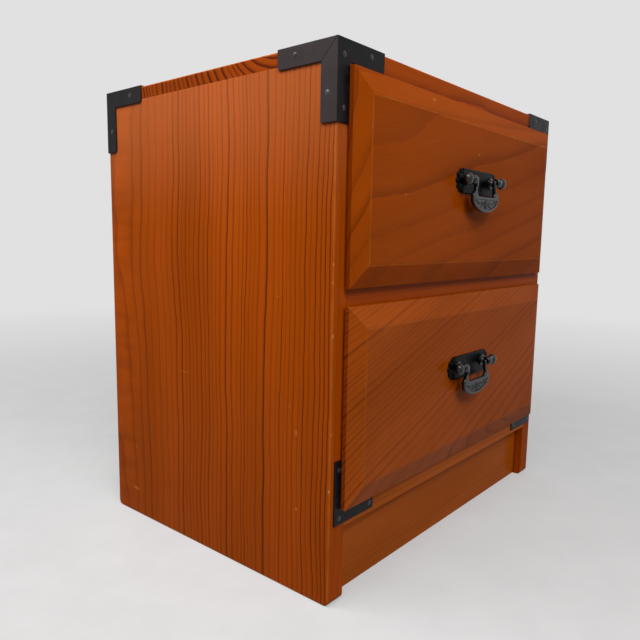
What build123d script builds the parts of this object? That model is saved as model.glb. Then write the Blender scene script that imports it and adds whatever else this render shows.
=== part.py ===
from build123d import *
import os
from math import cos, pi, sqrt

# Small two-drawer tansu chest. Millimetres, +X to the right, +Y to the back, +Z up.
# The origin is the middle of the whole object's footprint, on the floor.

os.makedirs("parts", exist_ok=True)

# ---------------------------------------------------------------- case
CASE_WIDTH = 319.0
CASE_DEPTH = 231.0
CASE_HEIGHT = 340.0
BOARD = 15.0                # sides, top, bottom and middle rail
TOP_LAP = 9.0               # ends of the top board, over the side panels
KICK_HEIGHT = 49.0          # floor to the underside of the bottom board
KICK_THICKNESS = 12.0
KICK_RECESS = 8.0           # kickboard behind the front edges
BACK_THICKNESS = 7.0
BACK_RABBET = 7.0           # how far the back panel enters each side
RAIL_DEPTH = 40.0
RUNNER_WIDTH = 20.0
ARRIS = 1.0                 # eased long edges of the case
FOOT_ROUND = 4.0            # rounded lower corners of the side panels

# ---------------------------------------------------------------- drawers
LIP_OVERLAP = 2.0           # drawer lip over the rails above and below
LIP_INSET = 9.7             # drawer lip from the outer face of the case
LIP_THICKNESS = 2.9
LIP_CLEARANCE = 0.3         # between the lip and the nail heads behind it
CHAMFER_WIDTH = 12.7
CHAMFER_DEPTH = 4.4
FIELD_EDGE_WIDTH = 2.0      # softened edge of the raised field
FIELD_EDGE_FALL = 0.3
CORE_THICKNESS = 9.0        # front board behind the face of the case
SIDE_PLAY = 0.6             # drawer box to each side panel
RUN_PLAY = 0.3              # drawer box above its runners
TOP_PLAY = 0.8              # front board under the rail above
STOP_PLAY = 0.3             # drawer box to the back panel
DRAWER_WALL = 10.0
DRAWER_HEAD_ROOM = 10.0     # drawer sides under the rail above
FRONT_LAP = 5.0             # drawer sides let into the front board
FLOOR_THICKNESS = 4.0
FLOOR_RAISE = 5.0           # drawer floor above the lower edge of its sides
FLOOR_GROOVE = 4.5

# ---------------------------------------------------------------- iron brackets
IRON = 0.9                  # sheet thickness
CORNER_LEG = 45.3
CORNER_WIDTH = 11.3
CORNER_CLIP = 1.8
CORNER_ROUND = 0.5          # folded outer edges
SEAM_WIDTH = 0.5
SEAM_DEPTH = 0.35
BASE_LEG = 42.0
BASE_WIDTH = 9.5
BASE_CLIP = 3.0
BASE_INSET = 4.0            # base bracket from the outer face of the case
BASE_RAISE = 3.1            # base bracket above the underside of the bottom board

# ---------------------------------------------------------------- nails
NAIL_RADIUS = 0.7
NAIL_LENGTH = 8.0           # below the sheet's outer face
NAIL_HEAD_RADIUS = 1.7
NAIL_HEAD_HEIGHT = 0.4
NAIL_HOLE_PLAY = 0.02
# nail places on a corner bracket: along the horizontal edge, below the top edge
FACE_NAILS = [(31.5, 4.3), (5.8, 37.0), (5.3, 8.0)]
SIDE_NAILS = [(31.3, 4.7), (6.2, 29.1)]
TOP_NAILS = [(24.0, 5.6), (5.6, 24.0)]
# nail places on a base bracket: from its outer edge, above its lower edge
BASE_NAILS = [(4.7, 35.7), (5.0, 4.4), (37.4, 4.4)]

# ---------------------------------------------------------------- handle
PLATE_WIDTH = 67.0
PLATE_HEIGHT = 17.5
PLATE_THICKNESS = 1.6
PLATE_BEADS = 5               # round each end
PLATE_BEAD_RADIUS = 2.1
PLATE_BEAD_RISE = 1.3         # beads beyond the round end behind them
PLATE_RAISE = 8.5           # plate centre above the middle of the drawer front
PIVOT_RAISE = 0.8           # bail axis above the plate centre
PIVOT_REACH = 5.7           # bail axis in front of the plate
EYE_SPACING = 39.4
EYE_WIDTH = 6.0
EYE_RADIUS = 3.4
EYE_ROUND = 1.3
NECK_RADIUS = 2.3
COLLAR_RADIUS = 4.2
COLLAR_THICKNESS = 1.2
COLLAR_ROUND = 0.5
SHANK_RADIUS = 2.0
SHANK_PLAY = 0.05
SHANK_END = 1.0             # shank beyond its nut
NUT_FLATS = 7.0
NUT_THICKNESS = 3.2
PIN_RADIUS = 1.4
PIN_PLAY = 0.05
BALL_RADIUS = 3.3
BALL_GAP = 0.5              # ball to the eye
BALL_BORE_PLAY = 0.02
ARM_GAP = 0.4               # bail arm to the eye
ARM_WIDTH = 3.0
BAIL_THICKNESS = 3.0
BAIL_WIDTH = 42.4
BAIL_DROP = 22.8
BAIL_SHOULDER = 12.4        # where the bail is widest, below its axis
GRIP_WIDTH = 29.6           # finger gap at its widest
GRIP_DROP = 11.3            # lower edge of the finger gap below the axis
GRIP_FLAT = 21.0            # straight stretch of that edge
GRIP_CORNER = 2.8           # where the gap is widest, above that edge
BAIL_ROUND = 1.0

# ---------------------------------------------------------------- levels and planes
LIP_GAP = IRON + NAIL_HEAD_HEIGHT + LIP_CLEARANCE
LIP_FRONT = LIP_GAP + LIP_THICKNESS
FIELD_REACH = LIP_FRONT + CHAMFER_DEPTH
PIVOT_FORWARD = FIELD_REACH + PLATE_THICKNESS + PIVOT_REACH
FRONT_REACH = PIVOT_FORWARD + BALL_RADIUS
BACK_REACH = IRON + NAIL_HEAD_HEIGHT

HALF = CASE_WIDTH / 2
FRONT = FRONT_REACH - (CASE_DEPTH + FRONT_REACH + BACK_REACH) / 2
BACK = FRONT + CASE_DEPTH
INSIDE = HALF - BOARD
INSIDE_BACK = BACK - BACK_THICKNESS

OPENING = (CASE_HEIGHT - KICK_HEIGHT - 3 * BOARD) / 2
LOWER_FLOOR = KICK_HEIGHT + BOARD
RAIL_BOTTOM = LOWER_FLOOR + OPENING
UPPER_FLOOR = RAIL_BOTTOM + BOARD
TOP_BOTTOM = CASE_HEIGHT - BOARD
PANEL_TOP = CASE_HEIGHT - TOP_LAP


def block(x, y, z):
    """A box between the two values given for each axis."""
    size = [abs(pair[1] - pair[0]) for pair in (x, y, z)]
    middle = [(pair[0] + pair[1]) / 2 for pair in (x, y, z)]
    return Pos(*middle) * Box(*size)


def plate(points, place, outward):
    """A sheet of bracket iron: an outline laid on a face by place(u, v), raised outward."""
    outline = make_face(Polyline([place(u, v) for u, v in points], close=True))
    return extrude(outline, amount=IRON, dir=outward)


def edges_at(shape, **where):
    """The straight edges that lie at the given X, Y or Z values."""
    found = []
    for edge in shape.edges().filter_by(GeomType.LINE):
        ends = [edge @ 0, edge @ 1]
        if all(abs(getattr(end, axis) - value) < 0.01 for end in ends for axis, value in where.items()):
            found.append(edge)
    return found


def other_side(shape):
    """The mirror image on the right of the chest."""
    return mirror(shape, Plane.YZ)


def to_back(shape):
    """The mirror image at the back of the case."""
    return mirror(shape, Plane.XZ.offset(-(FRONT + BACK) / 2))


# ---------------------------------------------------------------- nails
def make_nail():
    """A round-headed nail on the origin, head up, shank down through the sheet."""
    dome_radius = (NAIL_HEAD_RADIUS**2 + NAIL_HEAD_HEIGHT**2) / (2 * NAIL_HEAD_HEIGHT)
    half_way = NAIL_HEAD_RADIUS / 2
    dome_height = sqrt(dome_radius**2 - half_way**2) - dome_radius + NAIL_HEAD_HEIGHT
    profile = make_face([
        Line((0, -NAIL_LENGTH), (NAIL_RADIUS, -NAIL_LENGTH)),
        Line((NAIL_RADIUS, -NAIL_LENGTH), (NAIL_RADIUS, 0)),
        Line((NAIL_RADIUS, 0), (NAIL_HEAD_RADIUS, 0)),
        ThreePointArc((NAIL_HEAD_RADIUS, 0), (half_way, dome_height), (0, NAIL_HEAD_HEIGHT)),
        Line((0, NAIL_HEAD_HEIGHT), (0, -NAIL_LENGTH)),
    ])
    return revolve(Plane.XZ * profile, Axis.Z)


def nail_set(places, outward):
    """One nail on each place, which is a point on the iron's outer face."""
    nail = make_nail()
    return [Plane(origin=place, z_dir=outward) * nail for place in places]


def nail_holes(places, outward):
    """The holes that the nails of nail_set fill."""
    hole = Cylinder(NAIL_RADIUS + NAIL_HOLE_PLAY, 2 * NAIL_LENGTH)
    return [Plane(origin=place, z_dir=outward) * hole for place in places]


# ---------------------------------------------------------------- corner brackets
def on_front(u, v, raise_by=0.0):
    return (-HALF + u, FRONT - raise_by, CASE_HEIGHT - v)


def on_side(u, v, raise_by=0.0):
    return (-HALF - raise_by, FRONT + u, CASE_HEIGHT - v)


def on_top(u, v, raise_by=0.0):
    return (-HALF + u, FRONT + v, CASE_HEIGHT + raise_by)


FRONTWARD = (0, -1, 0)
LEFTWARD = (-1, 0, 0)
UPWARD = (0, 0, 1)
CORNER_FACES = [
    (on_front, FRONTWARD, FACE_NAILS),
    (on_side, LEFTWARD, SIDE_NAILS),
    (on_top, UPWARD, TOP_NAILS),
]


def corner_outline():
    """Two equal legs with clipped ends, from an outer corner one sheet beyond the wood."""
    out, leg, width, clip = -IRON, CORNER_LEG, CORNER_WIDTH, CORNER_CLIP
    return [
        (out, out), (leg - clip, out), (leg, clip), (leg, width - clip), (leg - clip, width),
        (width, width), (width, leg - clip), (width - clip, leg), (clip, leg), (out, leg - clip),
    ]


def make_corner_bracket():
    """The front left one: three L plates round the corner, seamed on the side face."""
    bracket = Part()
    for place, outward, _ in CORNER_FACES:
        bracket += plate(corner_outline(), place, outward)
    folds = edges_at(bracket, X=-HALF - IRON, Y=FRONT - IRON)
    folds += edges_at(bracket, X=-HALF - IRON, Z=CASE_HEIGHT + IRON)
    folds += edges_at(bracket, Y=FRONT - IRON, Z=CASE_HEIGHT + IRON)
    bracket = fillet(folds, CORNER_ROUND)
    seam = Rot(X=45) * Box(2 * SEAM_DEPTH, SEAM_WIDTH, 3 * CORNER_WIDTH)
    bracket -= Pos(on_side(0, 0, IRON)) * seam & block(
        (-HALF - 2 * IRON, -HALF),
        (FRONT + CORNER_ROUND, FRONT + 2 * CORNER_WIDTH),
        (CASE_HEIGHT - 2 * CORNER_WIDTH, CASE_HEIGHT - CORNER_ROUND),
    )
    for place, outward, nails in CORNER_FACES:
        bracket -= nail_holes([place(u, v, IRON) for u, v in nails], outward)
    return bracket


def make_corner_nails():
    nails = []
    for place, outward, places in CORNER_FACES:
        nails += nail_set([place(u, v, IRON) for u, v in places], outward)
    return Compound(children=nails)


def corner_holes():
    holes = []
    for place, outward, places in CORNER_FACES:
        holes += nail_holes([place(u, v, IRON) for u, v in places], outward)
    return Compound(children=holes)


# ---------------------------------------------------------------- base brackets
def on_base(u, v, raise_by=0.0):
    return (-HALF + BASE_INSET + u, FRONT - raise_by, KICK_HEIGHT + BASE_RAISE + v)


def make_base_bracket():
    """The left one: a flat L at the lower corner of the lower drawer's opening."""
    leg, width, clip = BASE_LEG, BASE_WIDTH, BASE_CLIP
    outline = [
        (0, 0), (leg, 0), (leg, width - clip), (leg - clip, width),
        (width, width), (width, leg - clip), (width - clip, leg), (0, leg),
    ]
    bracket = plate(outline, on_base, FRONTWARD)
    return bracket - nail_holes([on_base(u, v, IRON) for u, v in BASE_NAILS], FRONTWARD)


def make_base_nails():
    return Compound(children=nail_set([on_base(u, v, IRON) for u, v in BASE_NAILS], FRONTWARD))


def base_holes():
    return Compound(children=nail_holes([on_base(u, v, IRON) for u, v in BASE_NAILS], FRONTWARD))


def bore_for_nails(board):
    """Cuts every bracket's nail holes into a board of the case."""
    for holes in (corner_holes(), to_back(corner_holes()), base_holes()):
        board = board - holes.solids() - other_side(holes).solids()
    return board


# ---------------------------------------------------------------- case
def make_side_panel():
    """The left one, with a rabbet for the back panel."""
    panel = block((-HALF, -INSIDE), (FRONT, BACK), (0, PANEL_TOP))
    panel = fillet(edges_at(panel, Y=FRONT, Z=0) + edges_at(panel, Y=BACK, Z=0), FOOT_ROUND)
    panel = fillet(edges_at(panel, X=-HALF, Y=FRONT) + edges_at(panel, X=-HALF, Y=BACK), ARRIS)
    rabbet = block(
        (-INSIDE - BACK_RABBET, -INSIDE),
        (INSIDE_BACK, BACK),
        (KICK_HEIGHT, TOP_BOTTOM),
    )
    return bore_for_nails(panel - rabbet)


def make_top_board():
    """Rabbeted at both ends, so that the side panels reach up under it."""
    board = block((-HALF, HALF), (FRONT, BACK), (TOP_BOTTOM, CASE_HEIGHT))
    board = fillet(board.edges().filter_by(Axis.Z) + board.edges().group_by(Axis.Z)[-1], ARRIS)
    for side in (-1, 1):
        board -= block((side * INSIDE, side * HALF), (FRONT, BACK), (TOP_BOTTOM, PANEL_TOP))
    return bore_for_nails(board)


def make_bottom_board():
    return bore_for_nails(block((-INSIDE, INSIDE), (FRONT, INSIDE_BACK), (KICK_HEIGHT, LOWER_FLOOR)))


def make_middle_rail():
    return block((-INSIDE, INSIDE), (FRONT, FRONT + RAIL_DEPTH), (RAIL_BOTTOM, UPPER_FLOOR))


def make_kickboard():
    face = FRONT + KICK_RECESS
    return block((-INSIDE, INSIDE), (face, face + KICK_THICKNESS), (0, KICK_HEIGHT))


def make_back_panel():
    reach = INSIDE + BACK_RABBET
    return block((-reach, reach), (INSIDE_BACK, BACK), (KICK_HEIGHT, TOP_BOTTOM))


def make_runner():
    """The left strip that carries the upper drawer behind the middle rail."""
    return block(
        (-INSIDE, -INSIDE + RUNNER_WIDTH),
        (FRONT + RAIL_DEPTH, INSIDE_BACK),
        (RAIL_BOTTOM, UPPER_FLOOR),
    )


# ---------------------------------------------------------------- drawers
BOX_HALF = INSIDE - SIDE_PLAY
CORE_BACK = FRONT + CORE_THICKNESS
BOX_BACK = INSIDE_BACK - STOP_PLAY
BOX_HEIGHT = OPENING - RUN_PLAY - DRAWER_HEAD_ROOM


def floor_slab(base, grow=0.0):
    """The drawer floor in its grooves; base is the lower edge of the drawer box."""
    reach = BOX_HALF - DRAWER_WALL + FLOOR_GROOVE
    return block(
        (-reach, reach),
        (CORE_BACK - FLOOR_GROOVE, BOX_BACK + grow),
        (base + FLOOR_RAISE, base + FLOOR_RAISE + FLOOR_THICKNESS),
    )


def bevelled_face(half_width, low, high):
    """The bevel that rises from the lip to the flat field, with a softened edge."""
    steps = [
        (0, LIP_FRONT),
        (CHAMFER_WIDTH, FIELD_REACH - FIELD_EDGE_FALL),
        (CHAMFER_WIDTH + FIELD_EDGE_WIDTH, FIELD_REACH),
    ]
    sections = []
    for inset, reach in steps:
        outline = Rectangle(2 * (half_width - inset), high - low - 2 * inset)
        origin = (0, FRONT - reach, (low + high) / 2)
        sections.append(Plane(origin=origin, x_dir=(1, 0, 0), z_dir=FRONTWARD) * outline)
    return loft(sections, ruled=True)


def make_drawer_front(opening_floor, post_places):
    """One board: the core in the opening, the lip over the case, and the bevelled face."""
    base = opening_floor + RUN_PLAY
    lip_half = HALF - LIP_INSET
    lip_low = opening_floor - LIP_OVERLAP
    lip_high = opening_floor + OPENING + LIP_OVERLAP
    lip = block((-lip_half, lip_half), (FRONT - LIP_FRONT, FRONT - LIP_GAP), (lip_low, lip_high))
    core = block(
        (-BOX_HALF, BOX_HALF),
        (FRONT - LIP_GAP, CORE_BACK),
        (base, opening_floor + OPENING - TOP_PLAY),
    )
    board = bevelled_face(lip_half, lip_low, lip_high) + lip + core
    lap_top = base + BOX_HEIGHT
    for side in (-1, 1):
        board -= block(
            (side * (BOX_HALF - DRAWER_WALL), side * (BOX_HALF + SIDE_PLAY)),
            (CORE_BACK - FRONT_LAP, CORE_BACK + FRONT_LAP),
            (base - BOARD, lap_top),
        )
    board -= floor_slab(base)
    for x, z in post_places:
        bore = Cylinder(SHANK_RADIUS + SHANK_PLAY, 2 * (FIELD_REACH + CORE_THICKNESS))
        board -= Pos(x, FRONT, z) * Rot(X=90) * bore
    return board


def make_drawer_side(opening_floor):
    """The left one, grooved for the drawer floor."""
    base = opening_floor + RUN_PLAY
    wall = block(
        (-BOX_HALF, -BOX_HALF + DRAWER_WALL),
        (CORE_BACK - FRONT_LAP, BOX_BACK),
        (base, base + BOX_HEIGHT),
    )
    return wall - floor_slab(base, grow=DRAWER_WALL)


def make_drawer_back(opening_floor):
    base = opening_floor + RUN_PLAY
    reach = BOX_HALF - DRAWER_WALL
    return block(
        (-reach, reach),
        (BOX_BACK - DRAWER_WALL, BOX_BACK),
        (base + FLOOR_RAISE + FLOOR_THICKNESS, base + BOX_HEIGHT),
    )


# ---------------------------------------------------------------- handle
PLATE_FACE = FRONT - FIELD_REACH - PLATE_THICKNESS
PIVOT_Y = FRONT - PIVOT_FORWARD
EYE_X = EYE_SPACING / 2
EYE_INNER = EYE_X - EYE_WIDTH / 2
EYE_OUTER = EYE_X + EYE_WIDTH / 2
BALL_X = EYE_OUTER + BALL_GAP + BALL_RADIUS
ARM_X = EYE_INNER - ARM_GAP - ARM_WIDTH / 2


def plate_height(opening_floor):
    """Level of the handle plate's centre."""
    return opening_floor + OPENING / 2 + PLATE_RAISE


def make_handle_plate(level):
    """A flat plate with two round ends, each edged with half-round beads."""
    middle = (PLATE_WIDTH - PLATE_HEIGHT) / 2
    outline = Rectangle(2 * middle, PLATE_HEIGHT)
    bead = Pos(PLATE_HEIGHT / 2 - PLATE_BEAD_RADIUS, 0) * Circle(PLATE_BEAD_RADIUS)
    for side in (-1, 1):
        end = Pos(side * middle, 0)
        outline += end * Circle(PLATE_HEIGHT / 2 - PLATE_BEAD_RISE)
        for count in range(PLATE_BEADS):
            turn = 180 * ((count + 0.5) / PLATE_BEADS - side / 2)
            outline += end * Rot(Z=turn) * bead
    face = Plane(origin=(0, FRONT - FIELD_REACH, level), x_dir=(1, 0, 0), z_dir=FRONTWARD)
    slab = extrude(face * outline, amount=PLATE_THICKNESS)
    for side in (-1, 1):
        bore = Cylinder(SHANK_RADIUS + SHANK_PLAY, 4 * PLATE_THICKNESS)
        slab -= Pos(side * EYE_X, PLATE_FACE, level + PIVOT_RAISE) * Rot(X=90) * bore
    return slab


def make_post(level):
    """The left post: shank, collar, neck and the eye that holds the bail's pin."""
    shank_back = CORE_BACK + NUT_THICKNESS + SHANK_END
    shank_length = shank_back - PLATE_FACE
    collar = Cylinder(COLLAR_RADIUS, COLLAR_THICKNESS, align=(Align.CENTER, Align.CENTER, Align.MIN))
    collar = fillet(collar.edges().group_by(Axis.Z)[-1], COLLAR_ROUND)
    neck = Cylinder(NECK_RADIUS, PIVOT_REACH, align=(Align.CENTER, Align.CENTER, Align.MIN))
    shank = Cylinder(SHANK_RADIUS, shank_length, align=(Align.CENTER, Align.CENTER, Align.MAX))
    stem = Pos(-EYE_X, PLATE_FACE, level) * Rot(X=90) * (collar + neck + shank)
    eye = Cylinder(EYE_RADIUS, EYE_WIDTH)
    eye = fillet(eye.edges(), EYE_ROUND)
    bore = Cylinder(PIN_RADIUS + PIN_PLAY, 2 * EYE_WIDTH)
    centre = Pos(-EYE_X, PIVOT_Y, level) * Rot(Y=90)
    return stem + centre * eye - centre * bore


def make_nut(level):
    """The left post's nut, inside the drawer."""
    outline = RegularPolygon(NUT_FLATS / 2, 6, major_radius=False) - Circle(SHANK_RADIUS + SHANK_PLAY)
    inner_face = Plane(origin=(-EYE_X, CORE_BACK, level), x_dir=(1, 0, 0), z_dir=(0, 1, 0))
    return extrude(inner_face * outline, amount=NUT_THICKNESS)


def bail_half_outline():
    """Right half of the bail, axis at the origin, hanging down."""
    arm = ARM_WIDTH / 2
    below_eye = EYE_RADIUS + ARM_GAP
    inner_top = (ARM_X - arm, 0)
    outer_top = (ARM_X + arm, 0)
    outer_neck = (ARM_X + arm, -below_eye)
    shoulder = (BAIL_WIDTH / 2, -BAIL_SHOULDER)
    grip_corner = (GRIP_FLAT / 2, -GRIP_DROP)
    grip_side = (GRIP_WIDTH / 2, -GRIP_DROP + GRIP_CORNER)
    diagonal = cos(pi / 4)
    curve = (shoulder[0] * diagonal, shoulder[1] - (BAIL_DROP - BAIL_SHOULDER) * diagonal)
    return make_face([
        ThreePointArc(inner_top, (ARM_X, arm), outer_top),
        Line(outer_top, outer_neck),
        Spline(outer_neck, shoulder, tangents=[(0, -1), (0, -1)]),
        Spline(shoulder, curve, (0, -BAIL_DROP), tangents=[(0, -1), (-1, 0)]),
        Line((0, -BAIL_DROP), (0, -GRIP_DROP)),
        Line((0, -GRIP_DROP), grip_corner),
        Spline(grip_corner, grip_side, inner_top, tangents=[(1, 0), (0, 1)]),
    ])


def make_bail(level):
    """The swinging handle with its two pins, as one forging."""
    half = bail_half_outline()
    outline = half + mirror(half, Plane.YZ)
    body = extrude(outline, amount=BAIL_THICKNESS / 2, both=True)
    rims = body.edges().group_by(Axis.Z)
    body = fillet(rims[0] + rims[-1], BAIL_ROUND)
    bail = Pos(0, PIVOT_Y, level) * Rot(X=90) * body
    pin_length = BALL_X - ARM_X
    pin = Cylinder(PIN_RADIUS, pin_length, align=(Align.CENTER, Align.CENTER, Align.MIN))
    right_pin = Pos(ARM_X, PIVOT_Y, level) * Rot(Y=90) * pin
    return bail + right_pin + other_side(right_pin)


def make_ball(level):
    """The left ball, riveted on the end of the bail's pin."""
    bore = PIN_RADIUS + BALL_BORE_PLAY
    mouth = sqrt(BALL_RADIUS**2 - bore**2)
    profile = make_face([
        ThreePointArc((-BALL_RADIUS, 0), (0, BALL_RADIUS), (mouth, bore)),
        Line((mouth, bore), (0, bore)),
        Line((0, bore), (0, 0)),
        Line((0, 0), (-BALL_RADIUS, 0)),
    ])
    return Pos(-BALL_X, PIVOT_Y, level) * revolve(profile, Axis.X)


# ---------------------------------------------------------------- writing the pieces
def write(name, shape):
    shape.label = name
    export_step(shape, f"parts/{name}.step")


def pair(shape):
    """A piece and its mirror image as one group of separate solids."""
    return Compound(children=shape.solids() + other_side(shape).solids())


def write_case():
    side = make_side_panel()
    write("left_side_panel", side)
    write("right_side_panel", other_side(side))
    write("top_board", make_top_board())
    write("bottom_board", make_bottom_board())
    write("middle_rail", make_middle_rail())
    write("kickboard", make_kickboard())
    write("back_panel", make_back_panel())
    write("left_drawer_runner", make_runner())
    write("right_drawer_runner", other_side(make_runner()))


def write_brackets():
    bracket = make_corner_bracket()
    nails = make_corner_nails()
    for end, place in (("front", lambda shape: shape), ("back", to_back)):
        write(f"{end}_left_corner_bracket", place(bracket))
        write(f"{end}_right_corner_bracket", other_side(place(bracket)))
        write(f"{end}_left_corner_nails", place(nails))
        write(f"{end}_right_corner_nails", other_side(place(nails)))
    write("left_base_bracket", make_base_bracket())
    write("right_base_bracket", other_side(make_base_bracket()))
    write("left_base_nails", make_base_nails())
    write("right_base_nails", other_side(make_base_nails()))


def write_drawer(name, opening_floor):
    plate_level = plate_height(opening_floor)
    pivot_level = plate_level + PIVOT_RAISE
    post_places = [(-EYE_X, pivot_level), (EYE_X, pivot_level)]
    write(f"{name}_drawer_front", make_drawer_front(opening_floor, post_places))
    side = make_drawer_side(opening_floor)
    write(f"{name}_drawer_left_side", side)
    write(f"{name}_drawer_right_side", other_side(side))
    write(f"{name}_drawer_back", make_drawer_back(opening_floor))
    write(f"{name}_drawer_floor", floor_slab(opening_floor + RUN_PLAY))
    write(f"{name}_handle_plate", make_handle_plate(plate_level))
    post = make_post(pivot_level)
    write(f"{name}_handle_left_post", post)
    write(f"{name}_handle_right_post", other_side(post))
    write(f"{name}_handle_nuts", pair(make_nut(pivot_level)))
    write(f"{name}_bail", make_bail(pivot_level))
    write(f"{name}_bail_balls", pair(make_ball(pivot_level)))


write_case()
write_brackets()
write_drawer("upper", UPPER_FLOOR)
write_drawer("lower", LOWER_FLOOR)
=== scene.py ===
# %% [markdown]
# # A small two-drawer chest
# The chest is a softwood case with two bevelled drawers, black iron corners and cast iron drop handles.
# The construction model already holds every board and fitting at its real size, so this lesson only
# dresses it: wood and iron finishes, rounded irons, ornament on the handles, a camera and soft light.
# All lengths are in metres, in the construction model's own frame.

# %% Load the construction model
from math import cos, pi, radians, sin

import bmesh
import bpy
from mathutils import Matrix, Vector


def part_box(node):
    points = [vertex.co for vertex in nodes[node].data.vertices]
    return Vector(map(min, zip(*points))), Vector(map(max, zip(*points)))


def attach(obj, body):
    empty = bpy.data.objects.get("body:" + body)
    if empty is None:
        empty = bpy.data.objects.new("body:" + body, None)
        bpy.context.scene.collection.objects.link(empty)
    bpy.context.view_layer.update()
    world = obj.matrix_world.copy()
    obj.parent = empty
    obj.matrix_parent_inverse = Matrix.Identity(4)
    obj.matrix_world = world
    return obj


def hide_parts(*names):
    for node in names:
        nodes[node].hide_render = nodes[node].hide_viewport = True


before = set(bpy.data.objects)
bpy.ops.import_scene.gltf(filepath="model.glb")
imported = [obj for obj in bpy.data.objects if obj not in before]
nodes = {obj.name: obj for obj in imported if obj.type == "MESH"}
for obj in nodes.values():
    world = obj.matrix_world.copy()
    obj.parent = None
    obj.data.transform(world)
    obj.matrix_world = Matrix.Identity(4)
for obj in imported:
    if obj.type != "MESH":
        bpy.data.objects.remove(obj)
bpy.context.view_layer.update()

MM = 0.001
print("pieces in the model:", len(nodes))

# %% [markdown]
# ## Where things are
# Later steps place finishes and fittings by the planes of the case. They are read from the pieces
# themselves, so nothing has to be measured twice.

# %% Planes of the case
panel_low, panel_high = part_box("left_side_panel")
LEFT, FRONT, BACK = panel_low.x, panel_low.y, panel_high.y
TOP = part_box("top_board")[1].z
print("case width, depth, height:", -2 * LEFT, BACK - FRONT, TOP)

# %% [markdown]
# ## Camera
# The photograph looks at the front left corner from a little above the middle of the chest, with a
# moderately wide lens. The place and the three turns were worked out from the corners of the case. A
# small lens shift stands for the picture being cropped off centre.

# %% Camera
CAMERA_PLACE = Vector((-0.4439, -0.3312, 0.2296))
CAMERA_TURN = 0.85801       # from +Y towards +X
CAMERA_TILT = -0.13521
CAMERA_ROLL = 0.01306
FOCAL_SHARE = 622.7 / 640   # focal length as a share of the picture's width
SENSOR = 36.0
SHIFT = (0.0227, 0.0042)


def aim(turn, tilt, roll):
    """Right, up and back directions of a camera, as a rotation matrix."""
    ahead = Vector((sin(turn) * cos(tilt), cos(turn) * cos(tilt), sin(tilt)))
    level = Vector((cos(turn), -sin(turn), 0))
    upright = level.cross(ahead)
    right = cos(roll) * level + sin(roll) * upright
    up = cos(roll) * upright - sin(roll) * level
    return Matrix((right, up, -ahead)).transposed()


camera_data = bpy.data.cameras.new("camera")
camera_data.sensor_width = SENSOR
camera_data.lens = SENSOR * FOCAL_SHARE
camera_data.shift_x, camera_data.shift_y = SHIFT
camera_data.clip_start = 0.01
camera = bpy.data.objects.new("camera", camera_data)
directions = aim(CAMERA_TURN, CAMERA_TILT, CAMERA_ROLL)
camera.matrix_world = Matrix.Translation(CAMERA_PLACE) @ directions.to_4x4()
bpy.context.scene.collection.objects.link(camera)
bpy.context.scene.camera = camera
print("lens:", round(camera_data.lens, 2), "mm")

# %% [markdown]
# ## Helpers for shader nodes
# A material is a graph of small nodes. Building one in code is mostly making a node and filling its
# sockets, either with a value or with the output of another node. These short functions do just that.

# %% Node helpers


def colour(code):
    """A colour written as #RRGGBB, as the linear values that Blender works in."""
    parts = [int(code[place:place + 2], 16) / 255 for place in (1, 3, 5)]
    linear = [part / 12.92 if part <= 0.04045 else ((part + 0.055) / 1.055) ** 2.4 for part in parts]
    return (*linear, 1.0)


def fill(tree, socket, value):
    if isinstance(value, bpy.types.NodeSocket):
        tree.links.new(value, socket)
    else:
        socket.default_value = value


def add(tree, kind, sockets=None, **settings):
    """A node of that kind, with its settings and its input sockets filled."""
    node = tree.nodes.new(kind)
    for name, value in settings.items():
        setattr(node, name, value)
    for name, value in (sockets or {}).items():
        fill(tree, node.inputs[name], value)
    return node


def maths(tree, operation, *values):
    return add(tree, "ShaderNodeMath", dict(enumerate(values)), operation=operation).outputs[0]


def vector_maths(tree, operation, *values):
    node = add(tree, "ShaderNodeVectorMath", dict(enumerate(values)), operation=operation)
    return node.outputs["Value" if operation in ("LENGTH", "DOT_PRODUCT") else "Vector"]


def ramp(tree, value, low, high, start=0.0, end=1.0):
    """Goes smoothly from start to end while value goes from low to high."""
    sockets = {"Value": value, "From Min": low, "From Max": high, "To Min": start, "To Max": end}
    return add(tree, "ShaderNodeMapRange", sockets, interpolation_type="SMOOTHSTEP").outputs["Result"]


def blend_colour(tree, share, first, second, way="MIX"):
    node = add(tree, "ShaderNodeMix", data_type="RGBA", blend_type=way)
    for place, value in ((0, share), (6, first), (7, second)):
        fill(tree, node.inputs[place], value)
    return node.outputs[2]


def noise(tree, point, scale, detail=2.0, roughness=0.5):
    sockets = {"Vector": point, "Scale": scale, "Detail": detail, "Roughness": roughness}
    return add(tree, "ShaderNodeTexNoise", sockets).outputs[0]


def new_group(name, inputs, outputs):
    """An empty node group: inputs and outputs map a socket's name to its type."""
    tree = bpy.data.node_groups.new(name, "ShaderNodeTree")
    for in_out, sockets in (("INPUT", inputs), ("OUTPUT", outputs)):
        for socket, kind in sockets.items():
            tree.interface.new_socket(name=socket, in_out=in_out, socket_type="NodeSocket" + kind)
    return tree, tree.nodes.new("NodeGroupInput").outputs, tree.nodes.new("NodeGroupOutput").inputs


def use_group(tree, group, **sockets):
    node = tree.nodes.new("ShaderNodeGroup")
    node.node_tree = group
    for name, value in sockets.items():
        fill(tree, node.inputs[name.replace("_", " ")], value)
    return node.outputs


# %% [markdown]
# ## The growth rings of a board
# A board is cut out of a trunk, and what shows on each of its faces is where that face crosses the
# trunk's rings. A flat streak pattern would look right on one face only. Here the rings are worked out
# in space instead: the distance from the trunk's middle line, divided by the width of a ring, gives how
# far a point is through its year. The dark late wood is the last part of each year, with a soft inner
# side and a crisp outer one. Faces, ends and bevels then agree by themselves.

# %% Growth rings group


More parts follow.
